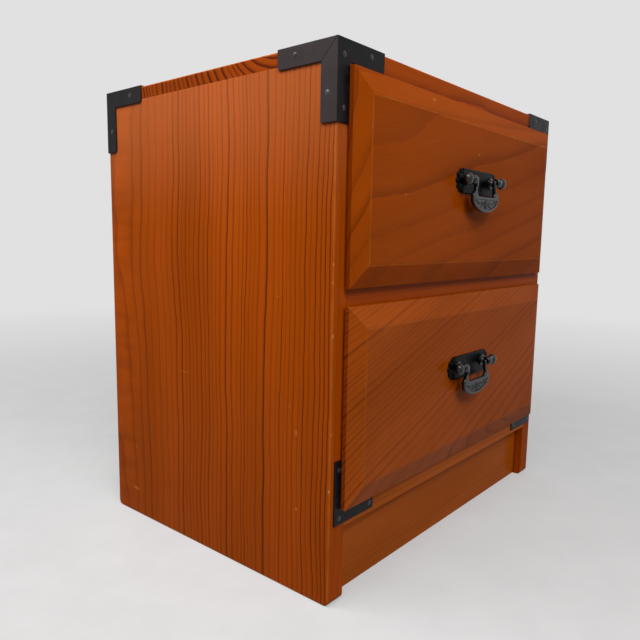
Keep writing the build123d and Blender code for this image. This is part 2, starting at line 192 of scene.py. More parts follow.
def build_rings():
    tree, given, result = new_group(
        "growth rings",
        {"Point": "Vector", "Ring Width": "Float", "Wander": "Float", "Late Share": "Float"},
        {"Late Wood": "Float", "Drift": "Float", "Fibre": "Float"},
    )
    along = vector_maths(tree, "MULTIPLY", given["Point"], (0.22, 1.0, 1.0))
    curving = vector_maths(tree, "MULTIPLY", given["Point"], (0.6, 1.0, 1.0))
    wide_sway = maths(tree, "SUBTRACT", noise(tree, along, 11.0, 1.0), 0.5)
    mid_sway = maths(tree, "SUBTRACT", noise(tree, curving, 14.0, 1.0), 0.5)
    fine_sway = maths(tree, "SUBTRACT", noise(tree, curving, 60.0, 1.0), 0.5)
    across = vector_maths(tree, "MULTIPLY", given["Point"], (0.0, 1.0, 1.0))
    radius = vector_maths(tree, "LENGTH", across)
    for sway, share in ((wide_sway, 1.0), (mid_sway, 0.6), (fine_sway, 0.12)):
        reach = maths(tree, "MULTIPLY", given["Wander"], share)
        radius = maths(tree, "MULTIPLY_ADD", sway, reach, radius)
    years = maths(tree, "DIVIDE", radius, given["Ring Width"])
    sockets = {"W": years, "Scale": 0.13, "Detail": 1.0}
    weather = add(tree, "ShaderNodeTexNoise", sockets, noise_dimensions="1D")
    years = maths(tree, "MULTIPLY_ADD", weather.outputs[0], 3.2, years)
    season = maths(tree, "FRACT", years)
    late_start = maths(tree, "SUBTRACT", 0.97, given["Late Share"])
    rise = maths(tree, "POWER", ramp(tree, season, late_start, 0.97), 1.6)
    fall = ramp(tree, season, 0.965, 1.0, 1.0, 0.0)
    count = maths(tree, "FLOOR", years)
    year = add(tree, "ShaderNodeTexWhiteNoise", {"W": count}, noise_dimensions="1D")
    strength = ramp(tree, year.outputs[0], 0.0, 1.0, 0.35, 1.0)
    late = maths(tree, "MULTIPLY", maths(tree, "MULTIPLY", rise, fall), strength)
    tree.links.new(late, result["Late Wood"])
    tree.links.new(noise(tree, along, 16.0, 3.0), result["Drift"])
    fibres = vector_maths(tree, "MULTIPLY", given["Point"], (0.03, 1.0, 1.0))
    tree.links.new(noise(tree, fibres, 1300.0, 2.0, 0.6), result["Fibre"])
    return tree


rings_group = build_rings()
print("rings group:", len(rings_group.nodes), "nodes")

# %% [markdown]
# ## Rubbed edges
# Stain wears thin where hands and dusters rub: along the outer arrises of a board and round the raised
# field of a drawer. The mask is one where a point lies close to the edges of a given box, and noise
# breaks it up. It is worked out from the distance to the box's planes: near two at once is an edge.

# %% Rubbed edges group


def build_rubbing():
    tree, given, result = new_group(
        "rubbed edges",
        {"Point": "Vector", "Middle": "Vector", "Half Size": "Vector", "Reach": "Float"},
        {"Rubbed": "Float", "Nicks": "Float"},
    )
    offset = vector_maths(tree, "SUBTRACT", given["Point"], given["Middle"])
    depth = vector_maths(tree, "SUBTRACT", given["Half Size"], vector_maths(tree, "ABSOLUTE", offset))
    near = add(tree, "ShaderNodeSeparateXYZ", {"Vector": vector_maths(tree, "ABSOLUTE", depth)}).outputs
    smallest = maths(tree, "MINIMUM", maths(tree, "MINIMUM", near[0], near[1]), near[2])
    largest = maths(tree, "MAXIMUM", maths(tree, "MAXIMUM", near[0], near[1]), near[2])
    total = maths(tree, "ADD", maths(tree, "ADD", near[0], near[1]), near[2])
    second = maths(tree, "SUBTRACT", maths(tree, "SUBTRACT", total, smallest), largest)
    patchy = noise(tree, given["Point"], 90.0, 3.0)
    reach = maths(tree, "MULTIPLY", given["Reach"], ramp(tree, patchy, 0.3, 0.7, 0.5, 1.4))
    closeness = maths(tree, "SUBTRACT", 1.0, maths(tree, "DIVIDE", second, reach))
    tree.links.new(ramp(tree, closeness, 0.0, 1.0), result["Rubbed"])
    chips = ramp(tree, noise(tree, given["Point"], 210.0, 2.0), 0.68, 0.74)
    tree.links.new(maths(tree, "MULTIPLY", chips, ramp(tree, closeness, 0.25, 0.6)), result["Nicks"])
    return tree


rubbing_group = build_rubbing()

# %% [markdown]
# ## Scuffs
# A chest that has been used has a few small knocks, where the stain is scraped thin. Each is a blurred
# spot with a ragged outline: the distance from its middle, stretched to its size and disturbed by noise.

# %% Scuffs group


def build_scuff():
    tree, given, result = new_group(
        "scuff", {"Point": "Vector", "Middle": "Vector", "Half Size": "Vector"}, {"Scuffed": "Float"})
    offset = vector_maths(tree, "SUBTRACT", given["Point"], given["Middle"])
    away = vector_maths(tree, "LENGTH", vector_maths(tree, "DIVIDE", offset, given["Half Size"]))
    ragged = maths(tree, "MULTIPLY_ADD", noise(tree, given["Point"], 420.0, 2.0), 1.1, away)
    tree.links.new(ramp(tree, ragged, 0.9, 1.5, 1.0, 0.0), result["Scuffed"])
    return tree


scuff_group = build_scuff()

# %% [markdown]
# ## Stained and lacquered wood
# The boards are softwood, stained orange brown and sealed with a half-gloss lacquer. Every board gets
# its own material, because each was cut from another place in a trunk: the pith (the trunk's middle
# line) runs through a chosen point in a chosen direction. A mapping node turned into that line's frame
# feeds the rings. Colour, roughness and a slight relief all follow the same rings, as on real wood.
#
# A few choices adjust a board. `contrast` is how dark its lines are, and it can differ on the ends
# (`end_contrast`), on bevels (`slant_contrast`) and on faces along one axis (`quiet`). `curl` adds
# ripples towards the back, and `rubbed` and `scuffs` are signs of use. A further choice lightens the top
# of a board with a painted sheen: painted light, standing for a reflection of bright light above.

# %% Lacquered wood material
EARLY_WOOD = colour("#B34C00")
LATE_WOOD = colour("#4C1600")
END_STAIN = colour("#6B2404")
RUBBED_WOOD = colour("#CF7A2E")
BARE_WOOD = colour("#DDAA74")
# Painted sheen: the pale pink that the top of a board is lightened towards, for a reflection of light.
PAINTED_SHEEN_WOOD = colour("#D98A5E")
SCRAPED = 0.7               # how far a scuff goes through the stain


def trunk_point(tree, pith, grain):
    """Object coordinates turned so that X runs along the trunk's middle line."""
    turn = Vector((1, 0, 0)).rotation_difference(Vector(grain).normalized()).to_euler()
    place = add(tree, "ShaderNodeTexCoord").outputs["Object"]
    sockets = {"Vector": place, "Location": pith, "Rotation": turn}
    return place, add(tree, "ShaderNodeMapping", sockets, vector_type="TEXTURE").outputs[0]


def facing(tree, axis, least=0.8, full=0.98):
    """One on faces that look along an axis, so that end grain can be told from side grain."""
    normal = add(tree, "ShaderNodeNewGeometry").outputs["True Normal"]
    share = maths(tree, "ABSOLUTE", vector_maths(tree, "DOT_PRODUCT", normal, Vector(axis).normalized()))
    return ramp(tree, share, least, full)


def curly(tree, place, point, strength):
    """Faint ripples across the grain towards the back of a side panel, where its lines soften."""
    stretched = vector_maths(tree, "MULTIPLY", point, (1.0, 0.2, 0.2))
    waves = noise(tree, stretched, 120.0, 1.0)
    depth = add(tree, "ShaderNodeSeparateXYZ", {"Vector": place}).outputs["Y"]
    figured = ramp(tree, depth, BACK - 0.11, BACK - 0.02)
    amount = maths(tree, "MULTIPLY", ramp(tree, depth, BACK - 0.045, BACK - 0.01), strength)
    return maths(tree, "MULTIPLY_ADD", maths(tree, "SUBTRACT", waves, 0.5), amount, 1.0), figured


def lacquered_wood(name, grain, pith, ring_width, wander=0.010, late_share=0.30, contrast=0.8,
                   early=EARLY_WOOD, late=LATE_WOOD, edges=None, rubbed=0.35, curl=0.0,
                   end_contrast=0.0, slant_contrast=0.0, quiet=None, top_sheen=0.0, coat=0.14, scuffs=()):
    material = bpy.data.materials.new(name)
    material.use_nodes = True
    tree = material.node_tree
    shader = tree.nodes["Principled BSDF"]
    place, point = trunk_point(tree, pith, grain)
    rings = use_group(tree, rings_group, Point=point, Ring_Width=ring_width,
                      Wander=wander, Late_Share=late_share)
    end = facing(tree, grain)
    tone = maths(tree, "MULTIPLY", ramp(tree, rings["Drift"], 0.3, 0.7, 0.88, 1.10),
                 ramp(tree, rings["Fibre"], 0.25, 0.75, 0.94, 1.05))
    strength = maths(tree, "MULTIPLY_ADD", end, end_contrast, contrast)
    if slant_contrast:
        slant = facing(tree, grain, 0.25, 0.45)
        strength = maths(tree, "MULTIPLY_ADD", slant, slant_contrast, strength)
    if quiet:
        calm = facing(tree, quiet)
        strength = maths(tree, "MULTIPLY", strength, maths(tree, "MULTIPLY_ADD", calm, -0.8, 1.0))
    if curl:
        ripples, figured = curly(tree, place, point, curl)
        tone = maths(tree, "MULTIPLY", tone, ripples)
        softened = maths(tree, "MULTIPLY_ADD", figured, -0.55, 1.0)
        strength = maths(tree, "MULTIPLY", strength, softened)
    share = maths(tree, "MULTIPLY", rings["Late Wood"], strength)
    shade = blend_colour(tree, share, early, late)
    shade = blend_colour(tree, maths(tree, "MULTIPLY", end, 0.45), shade, END_STAIN)
    shade = vector_maths(tree, "SCALE", shade)
    tree.links.new(tone, shade.node.inputs["Scale"])
    # Painted sheen: the colour is lightened towards the top, where a reflection of bright light would show.
    if top_sheen:
        height = add(tree, "ShaderNodeSeparateXYZ", {"Vector": place}).outputs["Z"]
        sheen_share = ramp(tree, height, 0.68 * TOP, 0.97 * TOP, 0.0, top_sheen)
        shade = blend_colour(tree, sheen_share, shade, PAINTED_SHEEN_WOOD)
    if edges:
        middle, half, reach = edges
        worn = use_group(tree, rubbing_group, Point=place, Middle=middle, Half_Size=half, Reach=reach)
        shade = blend_colour(tree, maths(tree, "MULTIPLY", worn["Rubbed"], rubbed), shade, RUBBED_WOOD)
        bare = maths(tree, "MULTIPLY", worn["Nicks"], 1.5 * rubbed)
        shade = blend_colour(tree, bare, shade, BARE_WOOD)
    for middle, half in scuffs:
        mark = use_group(tree, scuff_group, Point=place, Middle=middle, Half_Size=half)
        shade = blend_colour(tree, maths(tree, "MULTIPLY", mark["Scuffed"], SCRAPED), shade, RUBBED_WOOD)
    fill(tree, shader.inputs["Base Color"], shade)
    fill(tree, shader.inputs["Roughness"], ramp(tree, rings["Fibre"], 0.2, 0.8, 0.30, 0.42))
    height = maths(tree, "MULTIPLY_ADD", rings["Late Wood"], 0.5, rings["Fibre"])
    bump = add(tree, "ShaderNodeBump", {"Strength": 0.10, "Distance": 0.0003, "Height": height})
    fill(tree, shader.inputs["Normal"], bump.outputs[0])
    lacquer = ramp(tree, rings["Drift"], 0.25, 0.75, 0.75 * coat, 1.25 * coat)
    fill(tree, shader.inputs["Coat Weight"], lacquer)
    shader.inputs["Coat Roughness"].default_value = 0.22
    shader.inputs["Specular IOR Level"].default_value = 0.0
    return material


def dress(node, material):
    """Gives a piece of the construction model its finish."""
    for slot in nodes[node].material_slots:
        slot.material = material


# %% [markdown]
# ## Boards of the case
# The rubbed edges of all boards belong to one box round the case, so that no worn line runs along the
# joints between them. The left side was cut far from the pith at its front, where its lines are close,
# and nearly along a ring at its back, where they spread. It carries a few scuffs.

# %% Case boards
ALONG_X, ALONG_Y = (1, 0, 0), (0, 1, 0)
ARRIS = 1.5 * MM
case_middle = Vector((0, (FRONT + BACK) / 2, TOP / 2))
case_half = Vector((-LEFT, (BACK - FRONT) / 2, TOP / 2))
CASE_EDGES = (case_middle, case_half, ARRIS)
LEFT_SCUFFS = [
    (Vector((LEFT, along, up)), Vector((2.0, wide, tall)) * MM)
    for along, up, wide, tall in (
        (0.098, 0.0215, 6.0, 1.9), (0.0963, 0.0577, 1.8, 1.0), (0.033, 0.130, 7.0, 0.5),
        (-0.0787, 0.1077, 1.4, 2.6), (-0.0727, 0.1233, 0.9, 0.8), (-0.062, 0.1927, 1.0, 0.7),
        (-0.0794, 0.0573, 1.6, 1.4))]
LOWER_EARLY = colour("#BA5A10")     # the boards near the floor took less stain

# The left side's top gets a painted sheen, a painted reflection of bright light above.
dress("left_side_panel", lacquered_wood(
    "left_panel_wood", (0.004, 0.0, 1), (LEFT + 0.12, BACK + 0.008, 0), 3.6 * MM, wander=0.011,
    late_share=0.45, contrast=0.95, edges=CASE_EDGES, curl=0.55, quiet=ALONG_Y, top_sheen=0.21, coat=0.12,
    scuffs=LEFT_SCUFFS))
dress("right_side_panel", lacquered_wood(
    "right_panel_wood", (-0.006, 0.01, 1), (-LEFT - 0.05, FRONT + 0.03, 0), 4.2 * MM, wander=0.013,
    late_share=0.42, contrast=0.95, edges=CASE_EDGES, curl=0.4, quiet=ALONG_Y))
dress("top_board", lacquered_wood(
    "top_board_wood", (1, 0.01, 0.003), (0, FRONT + 0.050, TOP + 0.022), 4.6 * MM, wander=0.014,
    late_share=0.65, contrast=0.7, edges=CASE_EDGES, end_contrast=1.0))
dress("middle_rail", lacquered_wood(
    "middle_rail_wood", (1, 0, 0.01), (0, FRONT - 0.06, 0.1), 5.0 * MM, contrast=0.4))
dress("bottom_board", lacquered_wood(
    "bottom_board_wood", (1, 0, -0.01), (0, FRONT - 0.05, 0.13), 5.0 * MM, contrast=0.4,
    early=LOWER_EARLY))
dress("kickboard", lacquered_wood(
    "kickboard_wood", (1, 0.0, 0.03), (0, FRONT - 0.10, -0.12), 3.2 * MM, wander=0.006, contrast=0.3,
    early=LOWER_EARLY))
print("case boards dressed")

# %% [markdown]
# ## Drawer fronts
# The upper front was sawn almost flat off its trunk, so only a few soft lines rise across it. The lower
# one was sawn at an angle and shows many even lines, which run steeply over the bevel. The stain is
# rubbed thin where the bevel meets the raised field.

# %% Drawer front material
BEVEL_WIDTH = 13.7 * MM


def field_edges(node):
    """The box whose front edges are those of the raised field."""
    low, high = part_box(node)
    half = Vector(((high.x - low.x) / 2 - BEVEL_WIDTH, 0.02, (high.z - low.z) / 2 - BEVEL_WIDTH))
    middle = Vector(((low.x + high.x) / 2, low.y + half.y, (low.z + high.z) / 2))
    return middle, half, 0.9 * MM


FRONT_EARLY = colour("#A34600")
FRONT_LATE = colour("#4A1700")
LOWER_FRONT_EARLY = colour("#A94C08")
UPPER_SCUFFS = [
    (Vector((across, FRONT - depth * MM, up)), Vector((wide, 2.0, tall)) * MM)
    for across, depth, up, wide, tall in (
        (-0.062, 5.5, 0.322, 2.6, 1.6), (0.002, 9.0, 0.293, 1.4, 0.8),
        (0.006, 9.0, 0.303, 0.9, 0.8), (-0.098, 9.0, 0.258, 1.0, 1.0))]
dress("upper_drawer_front", lacquered_wood(
    "upper_front_wood", (1, 0.012, 0.20), (0, FRONT + 0.30, TOP + 0.01), 6.4 * MM, wander=0.0050,
    late_share=0.45, contrast=0.34, early=FRONT_EARLY, late=FRONT_LATE, slant_contrast=0.35, coat=0.10,
    edges=field_edges("upper_drawer_front"), rubbed=0.25, scuffs=UPPER_SCUFFS))
dress("lower_drawer_front", lacquered_wood(
    "lower_front_wood", (1, 0.03, 0.33), (0, FRONT - 0.12, 0.034), 3.35 * MM, wander=0.005,
    late_share=0.50, contrast=0.42, early=LOWER_FRONT_EARLY, late=FRONT_LATE, slant_contrast=0.6,
    coat=0.16, edges=field_edges("lower_drawer_front"), rubbed=0.12))
print("drawer fronts dressed")

# %% [markdown]
# ## Inside wood
# The drawer boxes, runners and the back are plain planed softwood and thin ply, without stain. The same
# rings serve, in pale colours and with a dry, rougher surface.

# %% Inside wood material
PALE_EARLY, PALE_LATE = colour("#D9B98A"), colour("#B5864F")
PLY_EARLY, PLY_LATE = colour("#C9A577"), colour("#A47A48")


def plain_wood(name, grain, pith, ring_width, early, late):
    material = lacquered_wood(name, grain, pith, ring_width, contrast=0.6, early=early, late=late)
    shader = material.node_tree.nodes["Principled BSDF"]
    for socket, value in (("Roughness", 0.62), ("Coat Weight", 0.0)):
        material.node_tree.links.remove(shader.inputs[socket].links[0])
        shader.inputs[socket].default_value = value
    return material


long_stock = plain_wood("drawer_side_wood", ALONG_Y, (-0.1, 0, -0.2), 4 * MM, PALE_EARLY, PALE_LATE)
cross_stock = plain_wood("drawer_back_wood", ALONG_X, (0, 0.2, -0.1), 4 * MM, PALE_EARLY, PALE_LATE)
ply = plain_wood("ply", ALONG_X, (0, 0.5, 1.3), 22 * MM, PLY_EARLY, PLY_LATE)
for drawer in ("upper", "lower"):
    dress(f"{drawer}_drawer_left_side", long_stock)
    dress(f"{drawer}_drawer_right_side", long_stock)
    dress(f"{drawer}_drawer_back", cross_stock)
    dress(f"{drawer}_drawer_floor", ply)
dress("left_drawer_runner", long_stock)
dress("right_drawer_runner", long_stock)
dress("back_panel", ply)
print("inside wood dressed")

# %% [markdown]
# ## Black iron
# The irons are thin sheet with a black satin lacquer, and the handles are cast and waxed. Both are dark
# with a soft sheen that changes a little over the surface. Noise varies the roughness, and a fine relief
# breaks up the reflections. On the corner irons a painted sheen greys the side faces, most towards the
# front: painted light, standing for a reflection. The side faces also show a mitre seam, drawn where a
# point is as far from the top as from the front or the back.

# %% Iron materials
SHEET_DARK, SHEET_RUBBED = colour("#09090C"), colour("#1A1617")
# Painted sheen grey for the side faces of the corner irons, and the dark of the mitre seam.
SHEEN_IRON, SEAM_DARK = colour("#453C3D"), colour("#010101")


def mitre_seam(tree, place):
    """One along the diagonal seams on the side faces of the corner irons."""
    offset = vector_maths(tree, "SUBTRACT", place, (0, (FRONT + BACK) / 2, TOP))
    parts = add(tree, "ShaderNodeSeparateXYZ", {"Vector": vector_maths(tree, "ABSOLUTE", offset)}).outputs
    inward = maths(tree, "SUBTRACT", (BACK - FRONT) / 2, parts[1])
    apart = maths(tree, "ABSOLUTE", maths(tree, "SUBTRACT", inward, parts[2]))
    line = ramp(tree, apart, 0.15 * MM, 0.4 * MM, 1.0, 0.0)
    return maths(tree, "MULTIPLY", line, facing(tree, ALONG_X))


def black_iron(name, base, rubbed, roughness, relief, metal=0.0, gloss=0.5, seam_and_sheen=False):
    material = bpy.data.materials.new(name)
    material.use_nodes = True
    tree = material.node_tree
    shader = tree.nodes["Principled BSDF"]
    place = add(tree, "ShaderNodeTexCoord").outputs["Object"]
    cloud = noise(tree, place, 120.0, 3.0)
    grain = noise(tree, place, 900.0, 2.0)
    shade = blend_colour(tree, ramp(tree, cloud, 0.35, 0.75), base, rubbed)
    if seam_and_sheen:
        # Painted sheen: side faces greyed, most at the front, as a reflection of light would show there.
        depth = add(tree, "ShaderNodeSeparateXYZ", {"Vector": place}).outputs["Y"]
        front_sheen = ramp(tree, depth, FRONT, BACK, 0.7, 0.05)
        side_sheen = maths(tree, "MULTIPLY", facing(tree, ALONG_X), front_sheen)
        shade = blend_colour(tree, side_sheen, shade, SHEEN_IRON)
        groove = mitre_seam(tree, place)
        shade = blend_colour(tree, groove, shade, SEAM_DARK)
        grain = maths(tree, "MULTIPLY_ADD", groove, -8.0, grain)
    fill(tree, shader.inputs["Base Color"], shade)
    uneven = ramp(tree, cloud, 0.3, 0.7, roughness - 0.06, roughness + 0.08)
    fill(tree, shader.inputs["Roughness"], uneven)
    bump = add(tree, "ShaderNodeBump", {"Strength": relief, "Distance": 0.0003, "Height": grain})
    fill(tree, shader.inputs["Normal"], bump.outputs[0])
    shader.inputs["Metallic"].default_value = metal
    shader.inputs["Specular IOR Level"].default_value = gloss
    return material


sheet_iron = black_iron("sheet_iron", SHEET_DARK, SHEET_RUBBED, 0.42, 0.16, gloss=0.12)
# The corner irons carry the mitre seam and the painted sheen on their side faces.
seamed_sheen_iron = black_iron("seamed_sheen_iron", SHEET_DARK, SHEET_RUBBED, 0.42, 0.16, gloss=0.12, seam_and_sheen=True)
nail_iron = black_iron("nail_iron", colour("#2E2A28"), colour("#4C4641"), 0.30, 0.15, metal=0.5)
handle_iron = black_iron("plate_iron", colour("#040507"), colour("#090A0D"), 0.30, 0.20, gloss=0.05)
bright_iron = black_iron("handle_iron", colour("#060709"), colour("#131415"), 0.17, 0.08, gloss=0.42)
nut_steel = black_iron("nut_steel", colour("#8F9092"), colour("#A9AAAC"), 0.35, 0.1, metal=1.0)
for node in nodes:
    if node.endswith("nails"):
        dress(node, nail_iron)
    elif node.endswith("nuts"):
        dress(node, nut_steel)
print("nails and nuts dressed")

# %% [markdown]
# ## Helpers for meshes
# New pieces are shaped in a bmesh, Blender's editable mesh. A finished bmesh becomes an object whose
# place is in its mesh. Faces shade smoothly except across sharp edges. A Weighted Normal modifier lets
# the large faces decide the shading, so a flat face next to a rounded edge still looks flat.

# %% Mesh helpers
SHARP = radians(35)


def finish_piece(name, bm, material, body, replaced):
    """Turns a bmesh into a piece that rides on a body and stands for a node of the model."""
    bmesh.ops.recalc_face_normals(bm, faces=bm.faces)
    for face in bm.faces:
        face.smooth = True
    for edge in bm.edges:
        edge.smooth = edge.is_manifold and edge.calc_face_angle(pi) < SHARP
    mesh = bpy.data.meshes.new(name)
    bm.to_mesh(mesh)
    bm.free()
    mesh.materials.append(material)
    piece = bpy.data.objects.new(name, mesh)
    bpy.context.scene.collection.objects.link(piece)
    even = piece.modifiers.new("even_shading", "WEIGHTED_NORMAL")
    even.keep_sharp = True
    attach(piece, body)
    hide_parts(replaced)


# %% [markdown]
# ## Corner irons
# A corner iron wraps the corner of the case with three L-shaped faces. A single sheet is laid over the
# three faces of the corner first, then thickened outward, and its outer edges are rounded. That gives one
# folded plate, with soft edges that catch the light, rather than three slabs that cross.

# %% Corner irons
IRON = 0.9 * MM
LEG = 45.3 * MM
LEG_WIDTH = 11.3 * MM
END_RADIUS = 2.2 * MM
EDGE_ROUND = 0.35 * MM


def leg_outline(length, width, radius):
    """One mitred leg in its own plane: along the fold, then away from it. Its free corner is rounded."""
    turns = [radians(30 * step) for step in range(4)]
    rounded = [(length - radius * (1 - cos(turn)), width - radius * (1 - sin(turn))) for turn in turns]
    return [(0.0, 0.0), (length, 0.0), *rounded, (width, width)]


def lay_sheet(bm, outline, corner, along, away):
    """A face on the plane of two directions, from an outline in lengths along them."""
    return bm.faces.new([bm.verts.new(corner + along * u + away * v) for u, v in outline])


def outside(point):
    """How far a point stands out of the case."""
    return max(LEFT - point.x, point.x + LEFT, FRONT - point.y, point.y - BACK, point.z - TOP)


def thicken(bm, outward):
    """Raises a laid sheet by the iron's thickness and rounds its outer edges."""
    bmesh.ops.recalc_face_normals(bm, faces=bm.faces)
    bmesh.ops.reverse_faces(bm, faces=[face for face in bm.faces if face.normal.dot(outward) < 0])
    bmesh.ops.solidify(bm, geom=bm.faces, thickness=-IRON)
    bmesh.ops.recalc_face_normals(bm, faces=bm.faces)
    outer = [edge for edge in bm.edges if edge.calc_face_angle(0) > radians(60)
             and min(outside(vert.co) for vert in edge.verts) > 0.5 * IRON]
    bmesh.ops.bevel(bm, geom=outer, offset=EDGE_ROUND, offset_type="OFFSET", segments=2,
                    profile=0.5, affect="EDGES", material=-1, clamp_overlap=True)


def corner_iron(name, side, end):
    """side is -1 on the left and 1 on the right; end is -1 at the front and 1 at the back."""
    bm = bmesh.new()
    corner = Vector((side * -LEFT, FRONT if end < 0 else BACK, TOP))
    inward, backward, down = Vector((-side, 0, 0)), Vector((0, -end, 0)), Vector((0, 0, -1))
    for first, second in ((inward, down), (backward, down), (inward, backward)):
        lay_sheet(bm, leg_outline(LEG, LEG_WIDTH, END_RADIUS), corner, first, second)
        lay_sheet(bm, leg_outline(LEG, LEG_WIDTH, END_RADIUS), corner, second, first)
    bmesh.ops.remove_doubles(bm, verts=bm.verts, dist=0.01 * MM)
    thicken(bm, Vector((side, end, 1)))
    finish_piece(f"{name}_folded", bm, seamed_sheen_iron, "case", name)


for end_name, end in (("front", -1), ("back", 1)):
    for side_name, side in (("left", -1), ("right", 1)):
        corner_iron(f"{end_name}_{side_name}_corner_bracket", side, end)

# %% [markdown]
# ## Base irons
# A flat L strengthens each lower corner of the bottom drawer's opening. It is one face with slanted
# ends, made by the same laying and thickening.

# %% Base irons
for side_name, side in (("left", -1), ("right", 1)):
    name = f"{side_name}_base_bracket"
    low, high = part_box(name)
    leg, width, clip = high.x - low.x, 9.5 * MM, 3.0 * MM
    outline = [(0, 0), (leg, 0), (leg, width - clip), (leg - clip, width), (width, width),
               (width, leg - clip), (width - clip, leg), (0, leg)]
    bm = bmesh.new()
    corner = Vector((low.x if side < 0 else high.x, FRONT, low.z))
    lay_sheet(bm, outline, corner, Vector((-side, 0, 0)), Vector((0, 0, 1)))
    thicken(bm, Vector((0, -1, 0)))
    finish_piece(f"{name}_plate", bm, sheet_iron, "case", name)
print("irons made")

# %% [markdown]
# ## Drop handles
# Each handle is a cast back plate with beaded round ends, two posts whose eyes hold the bail's pins, the
# bail itself with a ball on each pin end, and nuts inside the drawer. They are small, so it is their
# highlights that one reads: domed beads, round eyes, a rim round the grip. Turned shapes are spun from
# a profile, beads are squashed spheres, and the bail keeps the outline that it has in the model.

# %% Turned and domed shapes


def dome(bm, centre, size, steps=12):
    """A closed squashed sphere: a bead, a ball or a petal."""
    place = Matrix.Translation(centre) @ Matrix.Diagonal((*size, 1))
    bmesh.ops.create_uvsphere(bm, u_segments=2 * steps, v_segments=steps, radius=1.0, matrix=place)


def turned(bm, centre, axis, profile, steps=32):
    """Spins a closed profile, given as (along the axis, radius), into a ring about the axis."""
    axis = Vector(axis).normalized()
    sideways = axis.orthogonal().normalized()
    corners = [bm.verts.new(centre + axis * along + sideways * radius) for along, radius in profile]
    sides = [bm.edges.new(pair) for pair in zip(corners, corners[1:] + corners[:1])]
    bmesh.ops.spin(bm, geom=corners + sides, cent=centre, axis=axis, angle=2 * pi, steps=steps,
                   use_merge=True)


def olive(half_length, hole, radius, count=12):
    """The profile of a bulging ring with a hole through it."""
    middle, rise = (radius + hole) / 2, (radius - hole) / 2
    turns = [2 * pi * step / count for step in range(count)]
    return [(half_length * cos(turn), middle + rise * sin(turn)) for turn in turns]


# %% [markdown]
# ## The back plate
# The plate is a slab with rounded front edges. Its round ends are discs, edged with five domed beads
# each. The beads are cut off flat behind, where the plate lies on the drawer.

# %% Back plates
BEAD_RADIUS = 2.1 * MM
BEAD_RISE = 1.5 * MM        # beads beyond the round end behind them
BEADS = 5


def flat_back(bm, level):
    """Cuts away what lies behind a plane across Y, and closes the cut."""
    parts = bm.verts[:] + bm.edges[:] + bm.faces[:]
    cut = bmesh.ops.bisect_plane(bm, geom=parts, plane_co=(0, level, 0), plane_no=(0, 1, 0),
                                 clear_outer=True)
    rims = [part for part in cut["geom_cut"] if isinstance(part, bmesh.types.BMEdge)]
    bmesh.ops.holes_fill(bm, edges=rims)


def back_plate(drawer):
    node = f"{drawer}_handle_plate"
    low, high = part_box(node)
    middle, half_height, thick = (low.z + high.z) / 2, (high.z - low.z) / 2, high.y - low.y
    straight = high.x - half_height
    bm = bmesh.new()
    for side in (-1, 1):
        end = Vector((side * straight, high.y, middle))
        for count in range(BEADS):
            turn = pi * ((count + 0.5) / BEADS - side / 2)
            reach = half_height - BEAD_RADIUS
            place = end + Vector((reach * cos(turn), 0, reach * sin(turn)))
            dome(bm, place, (BEAD_RADIUS, thick, BEAD_RADIUS))
        disc = half_height - BEAD_RISE
        dome(bm, end, (disc, thick * 0.97, disc), steps=16)
    flat_back(bm, high.y)
    size = Matrix.Diagonal((2 * straight, thick, 2 * half_height, 1))
    place = Matrix.Translation((0, high.y - thick / 2, middle)) @ size
    slab = bmesh.ops.create_cube(bm, size=1.0, matrix=place)["verts"]
    front = {vert for vert in slab if vert.co.y < high.y - thick / 2}
    rims = [edge for edge in bm.edges if front.issuperset(edge.verts)]
    bmesh.ops.bevel(bm, geom=rims, offset=0.5 * MM, offset_type="OFFSET", segments=3, profile=0.5,
                    affect="EDGES", material=-1)
    finish_piece(f"{drawer}_plate_cast", bm, handle_iron, f"{drawer}_drawer", node)


# %% [markdown]
# ## Posts and eyes
# A post is a collar, a neck and an eye on one stem, with a shank that goes through the drawer front to
# its nut. The collar and neck are one spun profile. The eye is an olive-shaped ring about the pin.

# %% Posts


def post(drawer, side_name):
    node = f"{drawer}_handle_{side_name}_post"
    low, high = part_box(node)
    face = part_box(f"{drawer}_handle_plate")[0].y
    eye_radius = 3.4 * MM
    pin_y = low.y + eye_radius
    foot = Vector(((low.x + high.x) / 2, face, (low.z + high.z) / 2))
    shank, reach = (face - high.y) / MM, (face - pin_y) / MM - 1.6
    stem = [(shank, 0.0), (shank, 1.6), (shank + 0.4, 2.0), (0.0, 2.0), (0.0, 4.2), (0.7, 4.2),
            (1.2, 3.7), (1.5, 2.7), (2.4, 2.2), (reach, 2.1), (reach, 0.0)]
    stem = [(along * MM, radius * MM) for along, radius in stem]
    bm = bmesh.new()
    turned(bm, foot, (0, -1, 0), stem)
    turned(bm, Vector((foot.x, pin_y, foot.z)), ALONG_X, olive(3.0 * MM, 1.45 * MM, eye_radius))
    bmesh.ops.remove_doubles(bm, verts=bm.verts, dist=0.002 * MM)
    name = f"{drawer}_{side_name}_eye"
    finish_piece(name, bm, bright_iron, f"{drawer}_drawer", node)


# %% [markdown]
# ## The bail
# The bail is a casting with a wide lower part: the grip. Its outline is right in the model, so a copy of
# that mesh is merged, and the flat front of the grip is joined into one face. It is inset to leave a rim,
# and sunk. The inset would fold over itself at the grip's two tips, so the points close to them are
# welded first. A flower with two leaf scrolls and small beads stands in the hollow, no higher than the
# rim. This is a usual ornament of such handles.

# %% Bail helpers
GRIP_TOP = 12.4 * MM        # below the pins
RIM = 1.0 * MM
WALL = 0.35 * MM
HOLLOW = 0.7 * MM
GRIP_AREA = 100 * MM * MM   # only the grip's face is larger


def merged_copy(node):
    bm = bmesh.new()
    bm.from_mesh(nodes[node].data)
    bmesh.ops.remove_doubles(bm, verts=bm.verts, dist=0.001 * MM)
    return bm


